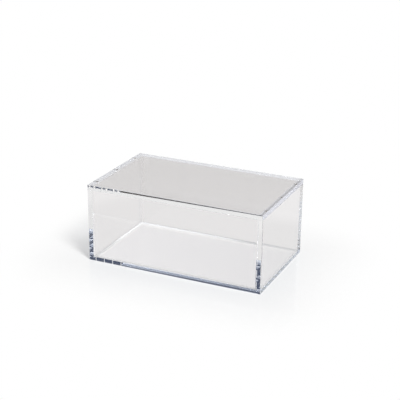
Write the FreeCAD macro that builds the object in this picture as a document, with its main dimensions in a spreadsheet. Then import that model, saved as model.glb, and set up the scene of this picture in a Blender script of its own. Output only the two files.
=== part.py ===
"""Clear acrylic storage box with a lift-off lid, in millimetres.

Five panels of clear acrylic sheet are solvent-welded into an open box. The base is a
full plate, the walls stand on it, the side walls run the whole depth, and the front and
back walls fit between them. The lid is a loose plate of the same footprint. Small disc
magnets, glued into blind pockets in the lid's underside and in the top edges of the side
walls, meet in pairs and hold the lid in its place.

+X is to the right, +Y to the back and +Z up. The origin is the middle of the underside.
"""
import FreeCAD, Part
import math
import os

import Sketcher

# Driving dimensions: alias, millimetres and what it measures
SIZES = (
    ("box_width", 220.0, "overall width, side to side"),
    ("box_depth", 132.0, "overall depth, front to back"),
    ("box_height", 95.0, "overall height with the lid on"),
    ("wall_thickness", 6.0, "sheet of the four walls"),
    ("base_thickness", 3.0, "sheet of the base"),
    ("lid_thickness", 6.0, "sheet of the lid"),
    ("edge_break", 0.4, "bevel on the polished outer edges"),
    ("magnet_diameter", 3.0, "disc magnet"),
    ("magnet_thickness", 2.0, "disc magnet"),
    ("magnet_edge_break", 0.2, "bevel on the rims of a magnet"),
    ("magnet_end_inset", 18.0, "end magnets from the front and back faces"),
    ("magnet_recess", 0.1, "magnet's face below the sheet's surface"),
    ("glue_clearance", 0.1, "glue film round a magnet"),
)

# Heights and places that follow from the driving dimensions
WALL_HEIGHT = "(sizes.box_height - sizes.lid_thickness - sizes.base_thickness)"
RIM_HEIGHT = "(sizes.box_height - sizes.lid_thickness)"
FRONT_WALL_LENGTH = "(sizes.box_width - 2 * sizes.wall_thickness)"
SIDE_WALL_MIDDLE = "(sizes.box_width - sizes.wall_thickness) / 2"
END_WALL_MIDDLE = "(sizes.box_depth - sizes.wall_thickness) / 2"
END_MAGNET_MIDDLE = "(sizes.box_depth / 2 - sizes.magnet_end_inset)"
POCKET_DIAMETER = "sizes.magnet_diameter + 2 * sizes.glue_clearance"
POCKET_DEPTH = "sizes.magnet_thickness + sizes.magnet_recess"

# Signs of the two sides and of the three magnets along a side
SIDE_SIGNS = {"left": -1, "right": 1}
ROW_SIGNS = {"front": -1, "middle": 0, "back": 1}

# The six sides of a panel: axis and whether the side is at its low or high end
PANEL_SIDES = {
    "left": ("X", "Min"),
    "right": ("X", "Max"),
    "front": ("Y", "Min"),
    "back": ("Y", "Max"),
    "bottom": ("Z", "Min"),
    "top": ("Z", "Max"),
}
UPRIGHT_CORNERS = ("left front", "left back", "right front", "right back")
UPPER_RIM = ("left top", "right top", "front top", "back top")
LOWER_RIM = ("left bottom", "right bottom", "front bottom", "back bottom")

SAME_PLACE = 1e-6


def signed(sign, expression):
    """The expression with the sign of a side in front of it."""
    return "%d * %s" % (sign, expression)


def make_sheet(doc):
    """The spreadsheet of driving dimensions."""
    sheet = doc.addObject("Spreadsheet::Sheet", "sizes")
    for row, (alias, size, meaning) in enumerate(SIZES, start=1):
        sheet.set("A%d" % row, meaning)
        sheet.set("B%d" % row, str(size))
        sheet.setAlias("B%d" % row, alias)
    doc.recompute()
    return sheet


def make_body(doc, label, place):
    """An empty body with its place bound to the sheet, axis by axis."""
    body = doc.addObject("PartDesign::Body", label)
    body.Label = label
    for axis, expression in place.items():
        body.setExpression("Placement.Base." + axis, expression)
    return body


def make_sketch(body, name, level=None):
    """A sketch on the body's own XY plane, raised to a level bound to the sheet."""
    planes = {feature.Role: feature for feature in body.Origin.OriginFeatures}
    sketch = body.newObject("Sketcher::SketchObject", name)
    sketch.AttachmentSupport = (planes["XY_Plane"], [""])
    sketch.MapMode = "FlatFace"
    if level:
        sketch.setExpression("AttachmentOffset.Base.z", level)
    return sketch


def bind(sketch, name, constraint, expression):
    """Add a named constraint and bind it to the sheet."""
    index = sketch.addConstraint(constraint)
    sketch.renameConstraint(index, name)
    sketch.setExpression("Constraints." + name, expression)


def draw_rectangle(sketch, length_x, length_y):
    """A rectangle about the sketch's origin, drawn as a unit square and then sized."""
    corners = [FreeCAD.Vector(x, y, 0) for x, y in ((-1, -1), (1, -1), (1, 1), (-1, 1))]
    for start, end in zip(corners, corners[1:] + corners[:1]):
        sketch.addGeometry(Part.LineSegment(start, end), False)
    for line in range(4):
        sketch.addConstraint(Sketcher.Constraint("Coincident", line, 2, (line + 1) % 4, 1))
    for line in (0, 2):
        sketch.addConstraint(Sketcher.Constraint("Horizontal", line))
    for line in (1, 3):
        sketch.addConstraint(Sketcher.Constraint("Vertical", line))
    sketch.addConstraint(Sketcher.Constraint("Symmetric", 0, 1, 2, 1, -1, 1))
    bind(sketch, "length_x", Sketcher.Constraint("DistanceX", 0, 1, 0, 2, 1), length_x)
    bind(sketch, "length_y", Sketcher.Constraint("DistanceY", 1, 1, 1, 2, 1), length_y)


def draw_circle(sketch, name, diameter, centre_x=None, centre_y=None):
    """A circle sized and placed from the sheet; a missing centre is on the axis."""
    up = FreeCAD.Vector(0, 0, 1)
    circle = sketch.addGeometry(Part.Circle(FreeCAD.Vector(0, 0, 0), up, 1), False)
    bind(sketch, name + "_diameter", Sketcher.Constraint("Diameter", circle, 1), diameter)
    for axis, centre in (("X", centre_x), ("Y", centre_y)):
        across = Sketcher.Constraint("Distance" + axis, -1, 1, circle, 3, 0)
        if centre:
            bind(sketch, name + "_" + axis.lower(), across, centre)
        else:
            sketch.addConstraint(across)


def pad(body, sketch, length):
    """Raise a sketch into a solid."""
    feature = body.newObject("PartDesign::Pad", body.Label + "_pad")
    feature.Profile = sketch
    feature.setExpression("Length", length)
    body.Document.recompute()
    return feature


def sides_of(edge, box):
    """The two sides of a panel that an edge lies on, as words."""
    found = []
    for side, (axis, end) in PANEL_SIDES.items():
        limit = getattr(box, axis + end)
        ends = [getattr(edge.BoundBox, axis + "Min"), getattr(edge.BoundBox, axis + "Max")]
        if all(abs(value - limit) < SAME_PLACE for value in ends):
            found.append(side)
    return " ".join(found)


def break_edges(body, feature, edge_names, size):
    """Bevel the named edges of a solid."""
    bevel = body.newObject("PartDesign::Chamfer", body.Label + "_edge_break")
    bevel.Base = (feature, edge_names)
    bevel.setExpression("Size", size)
    body.Tip = bevel
    body.Document.recompute()
    return bevel


def make_panel(doc, label, lengths, place, open_edges):
    """A sheet panel about its own axis, with its polished edges broken.

    Edges that end on a welded joint stay square, so that the faces meet there.
    """
    body = make_body(doc, label, place)
    outline = make_sketch(body, label + "_outline")
    draw_rectangle(outline, lengths["x"], lengths["y"])
    sheet = pad(body, outline, lengths["z"])
    box = sheet.Shape.BoundBox
    chosen = [
        "Edge%d" % number
        for number, edge in enumerate(sheet.Shape.Edges, start=1)
        if sides_of(edge, box) in open_edges
    ]
    if len(chosen) != len(open_edges):
        raise RuntimeError("%s: %d of %d edges found" % (label, len(chosen), len(open_edges)))
    break_edges(body, sheet, chosen, "sizes.edge_break")
    return body


def cut_pockets(body, places, level, upwards):
    """Blind magnet pockets, cut down from a level or, for the lid, up from it."""
    before = body.Shape.Volume
    sketch = make_sketch(body, body.Label + "_pocket_circles", level)
    for name, (centre_x, centre_y) in places.items():
        draw_circle(sketch, name, POCKET_DIAMETER, centre_x, centre_y)
    pocket = body.newObject("PartDesign::Pocket", body.Label + "_pockets")
    pocket.Profile = sketch
    pocket.Reversed = upwards
    pocket.setExpression("Length", POCKET_DEPTH)
    body.Tip = pocket
    body.Document.recompute()
    radius = sketch.Geometry[0].Radius
    expected = len(places) * math.pi * radius ** 2 * pocket.Length.Value
    if not math.isclose(before - body.Shape.Volume, expected, rel_tol=SAME_PLACE):
        raise RuntimeError(body.Label + ": the pockets did not cut")


def make_magnet(doc, label, place):
    """A disc magnet with both rims bevelled, standing on its own origin."""
    body = make_body(doc, label, place)
    outline = make_sketch(body, label + "_outline")
    draw_circle(outline, "disc", "sizes.magnet_diameter")
    disc = pad(body, outline, "sizes.magnet_thickness")
    rims = [
        "Edge%d" % number
        for number, edge in enumerate(disc.Shape.Edges, start=1)
        if isinstance(edge.Curve, Part.Circle)
    ]
    break_edges(body, disc, rims, "sizes.magnet_edge_break")
    return body


def make_base(doc):
    """The base: a full plate, square where the walls are welded on."""
    lengths = {"x": "sizes.box_width", "y": "sizes.box_depth", "z": "sizes.base_thickness"}
    return make_panel(doc, "base_panel", lengths, {}, UPRIGHT_CORNERS + LOWER_RIM)


def make_end_wall(doc, end):
    """The front or back wall, which fits between the side walls."""
    lengths = {"x": FRONT_WALL_LENGTH, "y": "sizes.wall_thickness", "z": WALL_HEIGHT}
    place = {"y": signed(ROW_SIGNS[end], END_WALL_MIDDLE), "z": "sizes.base_thickness"}
    return make_panel(doc, end + "_wall", lengths, place, (end + " top",))


def make_side_wall(doc, side):
    """A side wall over the whole depth, with magnet pockets in its top edge."""
    lengths = {"x": "sizes.wall_thickness", "y": "sizes.box_depth", "z": WALL_HEIGHT}
    place = {"x": signed(SIDE_SIGNS[side], SIDE_WALL_MIDDLE), "z": "sizes.base_thickness"}
    open_edges = (side + " front", side + " back", side + " top", "front top", "back top")
    wall = make_panel(doc, side + "_wall", lengths, place, open_edges)
    places = {
        row: (None, signed(sign, END_MAGNET_MIDDLE)) for row, sign in ROW_SIGNS.items()
    }
    cut_pockets(wall, places, WALL_HEIGHT, upwards=False)
    return wall


def make_lid(doc):
    """The loose lid, with magnet pockets in its underside over the side walls."""
    lengths = {"x": "sizes.box_width", "y": "sizes.box_depth", "z": "sizes.lid_thickness"}
    open_edges = UPRIGHT_CORNERS + UPPER_RIM + LOWER_RIM
    lid = make_panel(doc, "lid_panel", lengths, {"z": RIM_HEIGHT}, open_edges)
    places = {
        side + "_" + row: (
            signed(side_sign, SIDE_WALL_MIDDLE),
            signed(row_sign, END_MAGNET_MIDDLE),
        )
        for side, side_sign in SIDE_SIGNS.items()
        for row, row_sign in ROW_SIGNS.items()
    }
    cut_pockets(lid, places, None, upwards=True)
    return lid


def make_magnets(doc):
    """A pair of magnets at each place: one in the wall's rim, one in the lid."""
    levels = {
        "wall": RIM_HEIGHT + " - sizes.magnet_recess - sizes.magnet_thickness",
        "lid": RIM_HEIGHT + " + sizes.magnet_recess",
    }
    magnets = []
    for carrier, level in levels.items():
        for side, side_sign in SIDE_SIGNS.items():
            for row, row_sign in ROW_SIGNS.items():
                place = {
                    "x": signed(side_sign, SIDE_WALL_MIDDLE),
                    "y": signed(row_sign, END_MAGNET_MIDDLE),
                    "z": level,
                }
                label = "%s_magnet_%s_%s" % (carrier, side, row)
                magnets.append(make_magnet(doc, label, place))
    return magnets


def check(doc, bodies):
    """Stop if any object failed or any sub-part is not one sound solid."""
    for item in doc.Objects:
        if "Invalid" in item.State or "Error" in item.State:
            raise RuntimeError("%s failed: %s" % (item.Label, item.State))
    for body in bodies:
        shape = body.Shape
        if shape.isNull() or not shape.isValid() or len(shape.Solids) != 1:
            raise RuntimeError(body.Label + " is not one sound solid")


def main():
    """Build the box, check it and write one file for each sub-part."""
    doc = FreeCAD.newDocument("acrylic_storage_box")
    make_sheet(doc)
    bodies = [make_base(doc)]
    bodies += [make_end_wall(doc, end) for end in ("front", "back")]
    bodies += [make_side_wall(doc, side) for side in SIDE_SIGNS]
    bodies.append(make_lid(doc))
    bodies += make_magnets(doc)
    doc.recompute()
    check(doc, bodies)
    os.makedirs("parts", exist_ok=True)
    for body in bodies:
        body.Shape.exportStep("parts/%s.step" % body.Label)
        print("%-26s %10.2f mm3" % (body.Label, body.Shape.Volume))


main()
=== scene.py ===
"""Looks of the clear acrylic storage box and its lift-off lid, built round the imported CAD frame.

Each acrylic panel is a closed sheet worked out with numpy: a plan outline carried up a profile with
rounded rims, with the drilled magnet pockets let into it. The walls are welded to the base, so light
passes there as it does in one piece, and a bead of cured cement lies in the inner corner. The upright
joints are hairline gaps, which turn light back inside each wall. The tops of the walls are left milled,
the lid rests on them dry, with a hair of air between, and the magnets sit in their pockets.
"""

import math

import bpy
import numpy as np
from mathutils import Matrix, Vector
from mathutils.geometry import delaunay_2d_cdt


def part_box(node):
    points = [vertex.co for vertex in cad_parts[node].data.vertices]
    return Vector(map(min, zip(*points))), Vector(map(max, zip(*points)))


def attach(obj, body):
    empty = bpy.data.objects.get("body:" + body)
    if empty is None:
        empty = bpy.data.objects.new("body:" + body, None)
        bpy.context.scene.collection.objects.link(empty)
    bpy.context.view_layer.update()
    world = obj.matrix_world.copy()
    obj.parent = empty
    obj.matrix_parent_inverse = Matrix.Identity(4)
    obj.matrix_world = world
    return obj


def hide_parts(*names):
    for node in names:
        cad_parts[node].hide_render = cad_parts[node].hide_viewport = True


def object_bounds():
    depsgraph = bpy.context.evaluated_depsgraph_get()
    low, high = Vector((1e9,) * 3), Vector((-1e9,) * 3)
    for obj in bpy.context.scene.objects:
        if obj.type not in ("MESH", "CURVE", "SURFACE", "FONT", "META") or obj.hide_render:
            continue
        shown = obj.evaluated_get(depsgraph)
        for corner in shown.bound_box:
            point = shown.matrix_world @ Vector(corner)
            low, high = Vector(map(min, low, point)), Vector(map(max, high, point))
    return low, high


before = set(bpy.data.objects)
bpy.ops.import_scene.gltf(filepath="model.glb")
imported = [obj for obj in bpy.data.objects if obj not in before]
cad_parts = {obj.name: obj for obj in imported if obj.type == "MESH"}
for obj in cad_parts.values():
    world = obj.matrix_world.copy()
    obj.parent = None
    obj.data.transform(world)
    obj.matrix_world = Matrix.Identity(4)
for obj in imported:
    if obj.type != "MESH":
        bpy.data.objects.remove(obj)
cad_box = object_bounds()

MM = 0.001

# Finishing sizes that the eye sees at the edges and joints
RIM_RADIUS = 0.15 * MM
CORNER_RADIUS = 0.5 * MM
WELD_GAP = 0.01 * MM
DRY_GAP = 0.05 * MM
POCKET_CLEARANCE = 0.1 * MM
MAGNET_RIM = 0.25 * MM
BEAD_LEG = 2.0 * MM
RIM_STEPS = 4
CORNER_STEPS = 6
DISC_POINTS = 40

# Filling of flat faces: only inside the outlines, and points this close, in millimetres, are one
INSIDE_OUTLINES = 1
SAME_POINT = 1e-5

# Sides of a sheet seen from above, counter-clockwise, as plan_rings walks round them
FRONT, RIGHT, BACK, LEFT = range(4)
ALL_SIDES = (FRONT, RIGHT, BACK, LEFT)

# Finishes of a sheet's faces, in the order of their materials
CLEAR, WELDED, MILLED, EDGED, COVER, SATIN, SCRAPED = range(7)

# Camera, fitted to the corners of the box in the photograph
FOCAL_PIXELS = 1062.58
IMAGE_PIXELS = 400
SENSOR_WIDTH = 36.0
CAMERA_AZIMUTH = math.radians(24.4925)
CAMERA_ELEVATION = math.radians(20.885)
CAMERA_ROLL = math.radians(0.6339)
CAMERA_DISTANCE = 5.8523
CAMERA_ASIDE = 0.0228
CAMERA_ABOVE = 0.3061

# Refraction of acrylic, and how often light may turn inside the clear sheets
ACRYLIC_IOR = 1.49
LIGHT_TURNS = 40

# Floor: how far it goes, and how far from the box the camera sees its shading
FLOOR_REACH = 8.0
SHADING_ENDS = 110 * MM

# Floor as seen through the box: a painted soft shade near it, and painted extra light under it, most of it
# at the left
PAINTED_SHADE_NEAR = 0.79
PAINTED_SHADE_FAR = 0.86
PAINTED_SHADE_ENDS = (70 * MM, 120 * MM)
PAINTED_LIGHT_UNDER_LEFT = 0.3
PAINTED_LIGHT_UNDER_RIGHT = 0.18
UNDER_BLUR = 4 * MM

# Room round the floor: soft steps between two heights or two shares of a direction
ROOM_STEPS = {
    "wall_foot": ("Z", math.sin(math.radians(7)), math.sin(math.radians(12))),
    "wall_top": ("Z", math.sin(math.radians(45)), math.sin(math.radians(32))),
    "wall_upper_part": ("Z", math.sin(math.radians(20)), math.sin(math.radians(24))),
    "back": ("Y", 0.45, 0.65),
    "right": ("X", -0.15, 0.15),
}
SOFT_LIGHT = 0.5

# Lamp: where it stands, how broad it looks and how strong it is
LAMP_FROM = Vector((0.82, -0.56, 1.0))
LAMP_BREADTH = math.radians(15)
LAMP_STRENGTH = 2.45


def extent(node):
    """Lowest and highest corner of a CAD node, as the two rows of one array, in metres."""
    return np.array(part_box(node), float)


def linear(hex_colour):
    """The linear RGBA value of an opaque sRGB hex colour."""
    channels = np.array([int(hex_colour[i : i + 2], 16) for i in (0, 2, 4)]) / 255
    low, high = channels / 12.92, ((channels + 0.055) / 1.055) ** 2.4
    return (*np.where(channels <= 0.04045, low, high).tolist(), 1.0)


def add(tree, kind, settings=None, links=None):
    """Adds one node: settings are its properties and socket values, links its sockets and their sources."""
    node = tree.nodes.new(kind)
    for name, value in (settings or {}).items():
        if isinstance(name, int) or name in node.inputs:
            node.inputs[name].default_value = value
        else:
            setattr(node, name, value)
    for name, source in (links or {}).items():
        tree.links.new(source, node.inputs[name])
    return node


def new_material(name):
    """An empty node material and its tree."""
    material = bpy.data.materials.new(name)
    material.use_nodes = True
    material.node_tree.nodes.clear()
    return material, material.node_tree


def finish_clear(tree, shader, lamp_share):
    """Ends a clear material: soft light goes straight through it, and a share of the lamp's light."""
    path = add(tree, "ShaderNodeLightPath")
    soft = add(tree, "ShaderNodeBsdfTransparent", {"Color": linear("FAFBFC")})
    lamp = add(tree, "ShaderNodeBsdfTransparent", {"Color": linear(lamp_share)})
    softly = add(
        tree,
        "ShaderNodeMixShader",
        None,
        {0: path.outputs["Is Diffuse Ray"], 1: shader.outputs["BSDF"], 2: soft.outputs["BSDF"]},
    )
    either = add(
        tree,
        "ShaderNodeMixShader",
        None,
        {0: path.outputs["Is Shadow Ray"], 1: softly.outputs["Shader"], 2: lamp.outputs["BSDF"]},
    )
    add(tree, "ShaderNodeOutputMaterial", None, {"Surface": either.outputs["Shader"]})


def cast_acrylic(name, tint, lamp_share, wave_length, wave_strength, clearness=1.0, roughness=0.0):
    """Cast acrylic sheet: its own cast face, or a sawn edge that is polished, satin or only scraped.

    To the eye it is water clear: bright where it lets the room through, a dark or bright line where an
    edge shows the room by reflection inside the sheet. A face has long soft waves from casting. An edge
    has shorter ones from its finishing, and clearness and roughness give the haze that this leaves.
    """
    material, tree = new_material(name)
    place = add(tree, "ShaderNodeTexCoord")
    waviness = add(
        tree,
        "ShaderNodeTexNoise",
        {"Scale": 1 / wave_length, "Detail": 1.0},
        {"Vector": place.outputs["Object"]},
    )
    bump = add(
        tree,
        "ShaderNodeBump",
        {"Strength": wave_strength, "Distance": 0.2 * MM},
        {"Height": waviness.outputs["Fac"]},
    )
    shader = add(
        tree,
        "ShaderNodeBsdfPrincipled",
        {
            "Base Color": linear(tint),
            "Transmission Weight": clearness,
            "Roughness": roughness,
            "IOR": ACRYLIC_IOR,
        },
        {"Normal": bump.outputs["Normal"]},
    )
    finish_clear(tree, shader, lamp_share)
    return material


def milled_acrylic_edge():
    """Upper edge of an acrylic wall, left as the milling cutter made it.

    To the eye it is a pale, softly frosted band beside the clear faces, with fine marks of the cutter.
    """
    material, tree = new_material("milled_acrylic_edge")
    place = add(tree, "ShaderNodeTexCoord")
    cutter = add(
        tree,
        "ShaderNodeTexNoise",
        {"Scale": 1 / (0.8 * MM), "Detail": 2.0},
        {"Vector": place.outputs["Object"]},
    )
    bump = add(
        tree,
        "ShaderNodeBump",
        {"Strength": 0.02, "Distance": 0.05 * MM},
        {"Height": cutter.outputs["Fac"]},
    )
    shader = add(
        tree,
        "ShaderNodeBsdfPrincipled",
        {
            "Base Color": linear("F7F7F9"),
            "Roughness": 0.85,
            "Specular IOR Level": 0.2,
            "IOR": ACRYLIC_IOR,
        },
        {"Normal": bump.outputs["Normal"]},
    )
    finish_clear(tree, shader, "C0C0C1")
    return material


def cured_weld_bead():
    """Cured solvent cement that ran out of a joint.

    To the eye it is a thin pale line, half clear and half cloudy, uneven along its length.
    """
    material, tree = new_material("cured_weld_bead")
    place = add(tree, "ShaderNodeTexCoord")
    flow = add(
        tree,
        "ShaderNodeTexNoise",
        {"Scale": 1 / (14 * MM), "Detail": 2.0},
        {"Vector": place.outputs["Object"]},
    )
    cloud = add(
        tree,
        "ShaderNodeMapRange",
        {"To Min": 0.5, "To Max": 0.75},
        {"Value": flow.outputs["Fac"]},
    )
    pale = add(tree, "ShaderNodeBsdfDiffuse", {"Color": linear("FDFDFC")})
    clear = add(tree, "ShaderNodeBsdfTransparent", {"Color": (1, 1, 1, 1)})
    either = add(
        tree,
        "ShaderNodeMixShader",
        None,
        {0: cloud.outputs["Result"], 1: clear.outputs["BSDF"], 2: pale.outputs["BSDF"]},
    )
    add(tree, "ShaderNodeOutputMaterial", None, {"Surface": either.outputs["Shader"]})
    return material


def solvent_weld():
    """Solvent-welded joint between two acrylic panels.

    The weld is acrylic itself, so the eye sees nothing there: light goes straight on.
    """
    material, tree = new_material("solvent_weld")
    shader = add(tree, "ShaderNodeBsdfTransparent", {"Color": (1, 1, 1, 1)})
    add(tree, "ShaderNodeOutputMaterial", None, {"Surface": shader.outputs["BSDF"]})
    return material


def nickel_plated_magnet():
    """Neodymium disc magnet with barrel-finished nickel plating.

    To the eye it is a pale, warm grey metal with a soft and slightly uneven gloss.
    """
    material, tree = new_material("nickel_plated_magnet")
    place = add(tree, "ShaderNodeTexCoord")
    tumbling = add(
        tree,
        "ShaderNodeTexNoise",
        {"Scale": 1 / (0.6 * MM), "Detail": 3.0},
        {"Vector": place.outputs["Object"]},
    )
    gloss = add(
        tree,
        "ShaderNodeMapRange",
        {"To Min": 0.45, "To Max": 0.6},
        {"Value": tumbling.outputs["Fac"]},
    )
    tone = add(
        tree,
        "ShaderNodeMix",
        {"data_type": "RGBA", 6: linear("BDB9B3"), 7: linear("D0CDC8")},
        {0: tumbling.outputs["Fac"]},
    )
    shader = add(
        tree,
        "ShaderNodeBsdfPrincipled",
        {"Metallic": 1.0},
        {"Base Color": tone.outputs[2], "Roughness": gloss.outputs["Result"]},
    )
    add(tree, "ShaderNodeOutputMaterial", None, {"Surface": shader.outputs["BSDF"]})
    return material


def plan_rings(low, high, open_sides, side_finishes, insets):
    """Plan outlines of a sheet, one per inset, counter-clockwise, with each step's finish and curving.

    An open side moves inwards by the inset and a jointed side stays. A corner between two open sides is
    a quarter circle about a fixed centre, with the corner radius less the inset as its radius, and any
    other corner is one point.
    """
    points, finishes, curved = [], [], []
    inset = np.asarray(insets, float)[:, None]
    for corner in ALL_SIDES:
        at_right, at_back = corner in (RIGHT, BACK), corner in (BACK, LEFT)
        x_side, y_side = (RIGHT if at_right else LEFT), (BACK if at_back else FRONT)
        tip = np.array([high[0] if at_right else low[0], high[1] if at_back else low[1]])
        inward = np.array([-1.0 if at_right else 1.0, -1.0 if at_back else 1.0])
        if x_side in open_sides and y_side in open_sides:
            turn = np.radians(180 + 90 * corner) + np.linspace(0, math.pi / 2, CORNER_STEPS + 1)
            centre = tip + inward * CORNER_RADIUS
            radius = (CORNER_RADIUS - inset)[..., None]
            points.append(centre + radius * np.stack([np.cos(turn), np.sin(turn)], -1))
            curved += [True] * CORNER_STEPS
            finishes += [EDGED] * CORNER_STEPS
        else:
            moves = inward * [x_side in open_sides, y_side in open_sides]
            points.append((tip + inset * moves)[:, None])
        finishes.append(side_finishes.get(corner, CLEAR))
        curved.append(False)
    return np.concatenate(points, 1), np.array(finishes), np.array(curved)


def rim_profile(low, high, lower_rim, upper_rim):
    """Inset and height of each ring up the side of a sheet, with a mark for the steps that curve.

    A rounded rim is a quarter circle of the rim radius from the flat face to the upright side, and a
    square rim is one ring at the face.
    """
    turn = np.linspace(0, math.pi / 2, RIM_STEPS + 1)
    one = np.zeros(1)
    lower_inset = RIM_RADIUS * (1 - np.sin(turn)) if lower_rim else one
    lower_rise = RIM_RADIUS * (1 - np.cos(turn)) if lower_rim else one
    upper_inset = RIM_RADIUS * (1 - np.cos(turn)) if upper_rim else one
    upper_drop = RIM_RADIUS * (1 - np.sin(turn)) if upper_rim else one
    curved = [True] * (len(lower_inset) - 1) + [False] + [True] * (len(upper_inset) - 1)
    insets = np.concatenate([lower_inset, upper_inset])
    heights = np.concatenate([low + lower_rise, high - upper_drop])
    return insets, heights, np.array(curved)


def fill_face(ring, loops):
    """Triangles that fill a flat outline, and for each the number of the loop that it lies in, or 0.

    The points are the ring's, then those of each loop in turn. A Delaunay triangulation keeps every
    outline as edges.
    """
    points = np.concatenate([ring, *loops]) / MM
    starts = np.cumsum([0, len(ring)] + [len(loop) for loop in loops])
    outlines = [list(range(a, b)) for a, b in zip(starts[:-1], starts[1:])]
    flat = [Vector(point) for point in points.tolist()]
    found = delaunay_2d_cdt(flat, [], outlines, INSIDE_OUTLINES, SAME_POINT)
    triangles, sources, owners = found[2], found[3], found[5]
    source = np.array([same[0] for same in sources])
    inside = np.array([max(loops_round) for loops_round in owners])
    return source[np.array(triangles)], inside


def circle(centre, radius):
    """Points of a circle round a plan centre, counter-clockwise."""
    turn = np.linspace(0, 2 * math.pi, DISC_POINTS, endpoint=False)
    return np.asarray(centre) + radius * np.stack([np.cos(turn), np.sin(turn)], -1)


def at_height(plan, height):
    """Plan points lifted to a height."""
    return np.concatenate([plan, np.full((len(plan), 1), height)], 1)


def new_piece(name, points, faces, marks, smooth, materials):
    """A mesh object at the origin, with each face's material number and smooth mark."""
    mesh = bpy.data.meshes.new(name)
    mesh.from_pydata(points.tolist(), [], faces)
    for material in materials:
        mesh.materials.append(material)
    mesh.polygons.foreach_set("material_index", np.asarray(marks, np.int32))
    mesh.polygons.foreach_set("use_smooth", np.asarray(smooth, bool))
    mesh.update()
    piece = bpy.data.objects.new(name, mesh)
    bpy.context.scene.collection.objects.link(piece)
    return piece


def acrylic_panel(
    node,
    body,
    open_sides,
    side_finishes,
    lower_rim=False,
    upper_rim=False,
    lower_finish=CLEAR,
    upper_finish=CLEAR,
    welded_frame_above=None,
    pockets=(),
    pockets_above=True,
):
    """One acrylic sheet in the place of its CAD node.

    The side is a grid: each plan outline of plan_rings at its height of rim_profile. The flat faces
    fill the first and the last outline. A pocket is a circle carried from the face to its floor.
    """
    low, high = SHEETS[node]
    insets, heights, rim_steps = rim_profile(low[2], high[2], lower_rim, upper_rim)
    rings, finishes, round_corners = plan_rings(low, high, open_sides, side_finishes, insets)
    count, around = rings.shape[:2]
    level = np.broadcast_to(heights[:, None, None], (count, around, 1))
    points = [np.concatenate([rings, level], 2).reshape(-1, 3)]
    index = np.arange(count * around).reshape(count, around)
    ahead = np.roll(index, -1, 1)
    quads = np.stack([index[:-1], ahead[:-1], ahead[1:], index[1:]], -1).reshape(-1, 4)
    faces = quads.tolist()
    marks = np.tile(finishes, count - 1).tolist()
    smooth = (rim_steps[:, None] | round_corners[None, :]).reshape(-1).tolist()

    # Flat faces, the lower one turned to look down
    below, above = index[0], index[-1]
    holes = [circle(centre, radius) for centre, radius, _ in pockets]
    mouth = high[2] if pockets_above else low[2]
    first = count * around + np.arange(len(holes)) * 2 * DISC_POINTS
    mouths = [start + np.arange(DISC_POINTS) for start in first]
    floors = [start + DISC_POINTS + np.arange(DISC_POINTS) for start in first]
    for is_above, ids, ring in ((False, below, rings[0]), (True, above, rings[-1])):
        finish = upper_finish if is_above else lower_finish
        has_holes = bool(holes) and is_above == pockets_above
        inner = holes if has_holes else []
        ids_of = np.concatenate([ids, *mouths]) if has_holes else ids
        if is_above and welded_frame_above is not None:
            inner = [welded_frame_above]
            extra = count * around + np.arange(len(welded_frame_above))
            ids_of = np.concatenate([ids, extra])
            points.append(at_height(welded_frame_above, high[2]))
        if not inner:
            faces.append(ids.tolist() if is_above else ids[::-1].tolist())
            marks.append(finish)
            smooth.append(False)
            continue
        triangles, inside = fill_face(ring, inner)
        kept = inside == 0 if has_holes else np.full(len(inside), True)
        triangles = ids_of[triangles[kept]]
        faces += (triangles if is_above else triangles[:, ::-1]).tolist()
        marks += [finish] * len(triangles) if has_holes else np.where(inside == 0, WELDED, finish).tolist()
        smooth += [False] * len(triangles)

    # Pockets, their walls turned towards their axes
    for (_, _, floor), hole, upper, lower in zip(pockets, holes, mouths, floors):
        points += [at_height(hole, mouth), at_height(hole, floor)]
        nearer, farther = (lower, upper) if pockets_above else (upper, lower)
        wall = [nearer, farther, np.roll(farther, -1), np.roll(nearer, -1)]
        faces += np.stack(wall, -1).tolist()
        faces.append((lower if pockets_above else lower[::-1]).tolist())
        marks += [CLEAR] * (DISC_POINTS + 1)
        smooth += [True] * DISC_POINTS + [False]

    piece = new_piece(node + "_sheet", np.concatenate(points), faces, marks, smooth, FINISHES)
    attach(piece, body)
    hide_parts(node)


def weld_bead(name, half_width, half_depth, level):
    """Bead of cured solvent cement in the inner corner of the base and the walls.

    Its section is a hollow quarter circle between the two faces, closed by their corner, and it is
    carried round the rectangle of the inner faces with mitred corners.
    """
    turn = np.linspace(0, math.pi / 2, RIM_STEPS + 1)
    away = np.concatenate([BEAD_LEG * (1 - np.sin(turn)), [0.0]]) + WELD_GAP
    rise = np.concatenate([BEAD_LEG * (1 - np.cos(turn)), [0.0]]) + WELD_GAP
    signs = np.array([(-1, -1), (1, -1), (1, 1), (-1, 1)])
    reach = np.stack([half_width - away, half_depth - away], -1)
    plan = signs[:, None, :] * reach[None]
    height = np.broadcast_to(level + rise[None, :, None], (*plan.shape[:2], 1))
    points = np.concatenate([plan, height], 2).reshape(-1, 3)
    index = np.arange(plan.shape[0] * plan.shape[1]).reshape(plan.shape[:2])
    ahead = np.roll(index, -1, 0)
    upper, upper_ahead = np.roll(index, -1, 1), np.roll(ahead, -1, 1)
    quads = np.stack([index, upper, upper_ahead, ahead], -1)
    smooth = np.zeros(quads.shape[:2], bool)
    smooth[:, :RIM_STEPS] = True
    quads = quads.reshape(-1, 4)
    marks = np.zeros(len(quads))
    piece = new_piece(name, points, quads.tolist(), marks, smooth.reshape(-1), (cured_weld_bead(),))
    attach(piece, "box")


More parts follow.
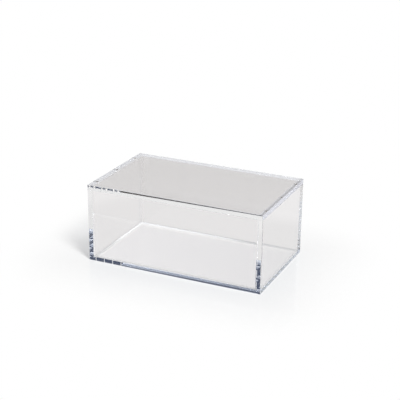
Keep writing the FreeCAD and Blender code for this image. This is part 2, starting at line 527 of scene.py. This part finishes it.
def magnet_disc(node, body):
    """A disc magnet with rounded rims, its profile turned round its axis.

    The profile goes from the lower face's rim by a quarter circle to the side and by another to the
    upper face, and both faces are closed by one flat polygon each.
    """
    low, high = MAGNETS[node]
    centre, radius = (low[:2] + high[:2]) / 2, (high[0] - low[0]) / 2
    turn = np.linspace(0, math.pi / 2, RIM_STEPS + 1)
    radii = radius - MAGNET_RIM + MAGNET_RIM * np.concatenate([np.sin(turn), np.cos(turn)])
    rise = MAGNET_RIM * (1 - np.cos(turn))
    heights = np.concatenate([low[2] + rise, high[2] - rise[::-1]])
    angle = np.linspace(0, 2 * math.pi, DISC_POINTS, endpoint=False)
    x = centre[0] + radii[:, None] * np.cos(angle)
    y = centre[1] + radii[:, None] * np.sin(angle)
    z = np.broadcast_to(heights[:, None], x.shape)
    index = np.arange(x.size).reshape(x.shape)
    ahead = np.roll(index, -1, 1)
    quads = np.stack([index[:-1], ahead[:-1], ahead[1:], index[1:]], -1).reshape(-1, 4)
    faces = quads.tolist() + [index[0][::-1].tolist(), index[-1].tolist()]
    smooth = [True] * len(quads) + [False, False]
    points = np.stack([x, y, z], -1).reshape(-1, 3)
    piece = new_piece(node + "_disc", points, faces, [0] * len(faces), smooth, (NICKEL,))
    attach(piece, body)
    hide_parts(node)


def magnet_pockets(places, above):
    """Centre, radius and floor height of the drilled pocket of each magnet."""
    found = []
    for low, high in places:
        radius = (high[0] - low[0]) / 2 + POCKET_CLEARANCE
        floor = low[2] - DRY_GAP if above else high[2] + DRY_GAP
        found.append(((low[:2] + high[:2]) / 2, radius, floor))
    return found


FINISHES = (
    cast_acrylic(
        "cast_acrylic_face",
        tint="FEFDFD",
        lamp_share="E4E4E5",
        wave_length=45 * MM,
        wave_strength=0.02,
    ),
    solvent_weld(),
    milled_acrylic_edge(),
    cast_acrylic(
        "polished_acrylic_edge",
        tint="F9F9F9",
        lamp_share="909092",
        wave_length=20 * MM,
        wave_strength=0.005,
        clearness=0.985,
    ),
    cast_acrylic(
        "cast_acrylic_lid_face",
        tint="FEFDFD",
        lamp_share="FAFBFC",
        wave_length=45 * MM,
        wave_strength=0.02,
    ),
    cast_acrylic(
        "satin_acrylic_edge",
        tint="F2F2FC",
        lamp_share="909092",
        wave_length=6 * MM,
        wave_strength=0.05,
        clearness=0.6,
        roughness=0.25,
    ),
    # The scraped edge's light blue tint is a painted highlight colour for the bluish line along the top of
    # the base's front band; the band's brightness itself is lit by the lamp
    cast_acrylic(
        "scraped_acrylic_edge",
        tint="DDE5F6",
        lamp_share="909092",
        wave_length=6 * MM,
        wave_strength=0.05,
        clearness=0.4,
        roughness=0.25,
    ),
)
NICKEL = nickel_plated_magnet()

SHEET_NODES = ("base_panel", "front_wall", "back_wall", "left_wall", "right_wall", "lid_panel")
SHEETS = {node: extent(node) for node in SHEET_NODES}
MAGNET_NODES = [node for node in sorted(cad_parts) if "magnet" in node]
MAGNETS = {node: extent(node) for node in MAGNET_NODES}

# Inner corners of the tub, and the hair of room at the joints and under the lid
inner_x = SHEETS["right_wall"][0][0]
inner_y = SHEETS["back_wall"][0][1]
for name in ("front_wall", "back_wall", "left_wall", "right_wall"):
    SHEETS[name][0][2] += WELD_GAP
for name in ("front_wall", "back_wall"):
    SHEETS[name][:, 0] += [WELD_GAP, -WELD_GAP]
SHEETS["lid_panel"][0][2] += DRY_GAP

inner_frame = np.array(
    [(-inner_x, -inner_y), (inner_x, -inner_y), (inner_x, inner_y), (-inner_x, inner_y)]
)


def magnets_of(start):
    """Places of the magnets whose names have this start."""
    return [MAGNETS[node] for node in MAGNET_NODES if node.startswith(start)]


# The base's back edge is only scraped, the lid's right edge is satin, and the walls' tops are milled
base_edges = {FRONT: EDGED, RIGHT: EDGED, BACK: SCRAPED, LEFT: EDGED}
lid_edges = {FRONT: EDGED, RIGHT: SATIN, BACK: EDGED, LEFT: EDGED}
wall_faces = {"upper_rim": True, "lower_finish": WELDED, "upper_finish": MILLED}
acrylic_panel("base_panel", "box", ALL_SIDES, base_edges, lower_rim=True, welded_frame_above=inner_frame)
acrylic_panel("front_wall", "box", (FRONT,), {}, **wall_faces)
acrylic_panel("back_wall", "box", (BACK,), {}, **wall_faces)
acrylic_panel(
    "left_wall",
    "box",
    (FRONT, BACK, LEFT),
    {FRONT: EDGED},
    pockets=magnet_pockets(magnets_of("wall_magnet_left"), True),
    **wall_faces,
)
acrylic_panel(
    "right_wall",
    "box",
    (FRONT, RIGHT, BACK),
    {},
    pockets=magnet_pockets(magnets_of("wall_magnet_right"), True),
    **wall_faces,
)
acrylic_panel(
    "lid_panel",
    "lid",
    ALL_SIDES,
    lid_edges,
    lower_rim=True,
    upper_rim=True,
    lower_finish=COVER,
    upper_finish=COVER,
    pockets=magnet_pockets(magnets_of("lid_magnet"), False),
    pockets_above=False,
)
weld_bead("weld_bead_round_base", inner_x, inner_y, SHEETS["base_panel"][1][2])
for node in MAGNET_NODES:
    magnet_disc(node, "lid" if node.startswith("lid") else "box")


def white_floor():
    """Glossy white studio floor, pale all over, with a faint gloss.

    Near the box the camera sees its shading and gloss, and further off plain white. What is seen through
    the box or in its gloss is a painted tone: a painted soft shade round the foot of the box and painted
    full light under it.
    """
    material, tree = new_material("glossy_white_floor")
    place = add(tree, "ShaderNodeTexCoord")
    path = add(tree, "ShaderNodeLightPath")

    # Distance from the foot of the box
    foot = (cad_box[1].x, cad_box[1].y, 1.0)
    folded = add(tree, "ShaderNodeVectorMath", {"operation": "ABSOLUTE"}, {0: place.outputs["Object"]})
    past = add(tree, "ShaderNodeVectorMath", {"operation": "SUBTRACT", 1: foot}, {0: folded.outputs[0]})
    outside = add(
        tree,
        "ShaderNodeVectorMath",
        {"operation": "MAXIMUM", 1: (0, 0, 0)},
        {0: past.outputs[0]},
    )
    away = add(tree, "ShaderNodeVectorMath", {"operation": "LENGTH"}, {0: outside.outputs[0]})

    # Shading near the box, and plain white for the camera further off
    lit = add(
        tree,
        "ShaderNodeBsdfPrincipled",
        {"Base Color": linear("FAFAFA"), "Roughness": 0.06, "IOR": 1.45},
    )
    white = add(tree, "ShaderNodeEmission", {"Color": (1, 1, 1, 1), "Strength": 1.0})
    fading = add(
        tree,
        "ShaderNodeMapRange",
        {"interpolation_type": "SMOOTHSTEP", "From Max": SHADING_ENDS},
        {"Value": away.outputs["Value"]},
    )
    straight = add(
        tree,
        "ShaderNodeMath",
        {"operation": "MULTIPLY"},
        {0: path.outputs["Is Camera Ray"], 1: fading.outputs["Result"]},
    )
    direct = add(
        tree,
        "ShaderNodeMixShader",
        None,
        {0: straight.outputs[0], 1: lit.outputs["BSDF"], 2: white.outputs["Emission"]},
    )

    # Painted tone that is seen through the box and in its gloss: painted shade round the foot of the box
    # and painted light under it
    within = add(
        tree,
        "ShaderNodeMapRange",
        {"From Max": UNDER_BLUR, "To Min": 1.0, "To Max": 0.0},
        {"Value": away.outputs["Value"]},
    )
    parts = add(tree, "ShaderNodeSeparateXYZ", None, {"Vector": place.outputs["Object"]})
    across = add(
        tree,
        "ShaderNodeMapRange",
        {
            "From Min": cad_box[0].x,
            "From Max": cad_box[1].x,
            "To Min": PAINTED_LIGHT_UNDER_LEFT,
            "To Max": PAINTED_LIGHT_UNDER_RIGHT,
        },
        {"Value": parts.outputs["X"]},
    )
    under = add(
        tree,
        "ShaderNodeMath",
        {"operation": "MULTIPLY"},
        {0: within.outputs["Result"], 1: across.outputs["Result"]},
    )
    shade = add(
        tree,
        "ShaderNodeMapRange",
        {
            "interpolation_type": "SMOOTHSTEP",
            "From Min": PAINTED_SHADE_ENDS[0],
            "From Max": PAINTED_SHADE_ENDS[1],
            "To Min": PAINTED_SHADE_NEAR,
            "To Max": PAINTED_SHADE_FAR,
        },
        {"Value": away.outputs["Value"]},
    )
    tone = add(
        tree,
        "ShaderNodeMath",
        {"operation": "ADD"},
        {0: under.outputs[0], 1: shade.outputs["Result"]},
    )
    # Glow of the floor whose strength is the painted shade and the painted light under the box
    painted_shade = add(tree, "ShaderNodeEmission", {"Color": (1, 1, 1, 1)}, {"Strength": tone.outputs[0]})
    through = add(
        tree,
        "ShaderNodeMath",
        {"operation": "MAXIMUM"},
        {0: path.outputs["Is Transmission Ray"], 1: path.outputs["Is Glossy Ray"]},
    )
    either = add(
        tree,
        "ShaderNodeMixShader",
        None,
        {0: through.outputs[0], 1: direct.outputs["Shader"], 2: painted_shade.outputs["Emission"]},
    )
    add(tree, "ShaderNodeOutputMaterial", None, {"Surface": either.outputs["Shader"]})
    reach = np.array([(-1, -1), (1, -1), (1, 1), (-1, 1)]) * FLOOR_REACH
    corners = at_height(reach, -DRY_GAP)
    floor = new_piece("studio_floor", corners, [[0, 1, 2, 3]], [0], [False], (material,))


def studio_world():
    """White studio up to a little above the horizon and overhead, with the room's walls between.

    The wall behind the box is unlit: through the sheets it is dark brown, and dark blue higher up and to
    the right, and as a reflection it is a soft grey. The other walls are pale.
    """
    world = bpy.data.worlds.new("white_studio")
    bpy.context.scene.world = world
    world.use_nodes = True
    # Each kind of ray then finds the light that is meant for it
    world.cycles.sampling_method = "NONE"
    tree = world.node_tree
    tree.nodes.clear()
    path = add(tree, "ShaderNodeLightPath")
    place = add(tree, "ShaderNodeTexCoord")
    parts = add(tree, "ShaderNodeSeparateXYZ", None, {"Vector": place.outputs["Generated"]})
    steps = {}
    for name, (axis, start, end) in ROOM_STEPS.items():
        step = add(
            tree,
            "ShaderNodeMapRange",
            {"interpolation_type": "SMOOTHSTEP", "From Min": start, "From Max": end},
            {"Value": parts.outputs[axis]},
        )
        steps[name] = step.outputs["Result"]
    on_wall = add(
        tree,
        "ShaderNodeMath",
        {"operation": "MULTIPLY"},
        {0: steps["wall_foot"], 1: steps["wall_top"]},
    )
    cooler = add(
        tree,
        "ShaderNodeMath",
        {"operation": "MAXIMUM"},
        {0: steps["wall_upper_part"], 1: steps["right"]},
    )
    depths = add(
        tree,
        "ShaderNodeMix",
        {"data_type": "RGBA", 6: linear("362E28"), 7: linear("2E3B58")},
        {0: cooler.outputs[0]},
    )
    behind = add(
        tree,
        "ShaderNodeMix",
        {"data_type": "RGBA", 6: linear("B4B1AF")},
        {0: path.outputs["Is Transmission Ray"], 7: depths.outputs[2]},
    )
    walls = add(
        tree,
        "ShaderNodeMix",
        {"data_type": "RGBA", 6: linear("C3CCD4")},
        {0: steps["back"], 7: behind.outputs[2]},
    )
    studio = add(
        tree,
        "ShaderNodeMix",
        {"data_type": "RGBA", 6: (1, 1, 1, 1)},
        {0: on_wall.outputs[0], 7: walls.outputs[2]},
    )
    room = add(tree, "ShaderNodeBackground", {"Strength": 1.0}, {"Color": studio.outputs[2]})
    soft = add(tree, "ShaderNodeBackground", {"Color": (1, 1, 1, 1), "Strength": SOFT_LIGHT})
    plain = add(tree, "ShaderNodeBackground", {"Color": (1, 1, 1, 1), "Strength": 1.0})
    lit = add(
        tree,
        "ShaderNodeMixShader",
        None,
        {0: path.outputs["Is Diffuse Ray"], 1: room.outputs[0], 2: soft.outputs[0]},
    )
    seen = add(
        tree,
        "ShaderNodeMixShader",
        None,
        {0: path.outputs["Is Camera Ray"], 1: lit.outputs[0], 2: plain.outputs[0]},
    )
    add(tree, "ShaderNodeOutputWorld", None, {"Surface": seen.outputs[0]})


def photograph_camera():
    """Camera on the line of sight of the photograph, in widths of the box from its foot's middle."""
    width = cad_box[1].x - cad_box[0].x
    level = np.array([math.cos(CAMERA_AZIMUTH), math.sin(CAMERA_AZIMUTH), 0.0])
    outward = np.array([math.sin(CAMERA_AZIMUTH), -math.cos(CAMERA_AZIMUTH), 0.0])
    straight_up = np.array([0.0, 0.0, 1.0])
    back = outward * math.cos(CAMERA_ELEVATION) + straight_up * math.sin(CAMERA_ELEVATION)
    upright = np.cross(back, level)
    right = level * math.cos(CAMERA_ROLL) + upright * math.sin(CAMERA_ROLL)
    up = upright * math.cos(CAMERA_ROLL) - level * math.sin(CAMERA_ROLL)
    place = (back * CAMERA_DISTANCE + right * CAMERA_ASIDE + up * CAMERA_ABOVE) * width
    lens = bpy.data.cameras.new("photograph_camera")
    lens.sensor_width = SENSOR_WIDTH
    lens.lens = FOCAL_PIXELS / IMAGE_PIXELS * SENSOR_WIDTH
    lens.clip_start = 0.01
    lens.clip_end = 100.0
    camera = bpy.data.objects.new("photograph_camera", lens)
    turned = np.eye(4)
    turned[:3] = np.column_stack([right, up, back, place])
    camera.matrix_world = Matrix(turned.tolist())
    bpy.context.scene.collection.objects.link(camera)
    bpy.context.scene.camera = camera


def key_light():
    """A broad soft lamp high at the front right, which leaves a soft shadow behind at the left."""
    lamp = bpy.data.lights.new("key_light", "SUN")
    lamp.angle = LAMP_BREADTH
    lamp.energy = LAMP_STRENGTH
    light = bpy.data.objects.new("key_light", lamp)
    light.rotation_mode = "QUATERNION"
    light.rotation_quaternion = LAMP_FROM.to_track_quat("Z", "Y")
    bpy.context.scene.collection.objects.link(light)


white_floor()
studio_world()
photograph_camera()
key_light()

scene = bpy.context.scene
scene.view_settings.view_transform = "Standard"

# Light goes round many times inside clear sheets
scene.cycles.max_bounces = LIGHT_TURNS
scene.cycles.glossy_bounces = LIGHT_TURNS
scene.cycles.transmission_bounces = LIGHT_TURNS
scene.cycles.transparent_max_bounces = LIGHT_TURNS
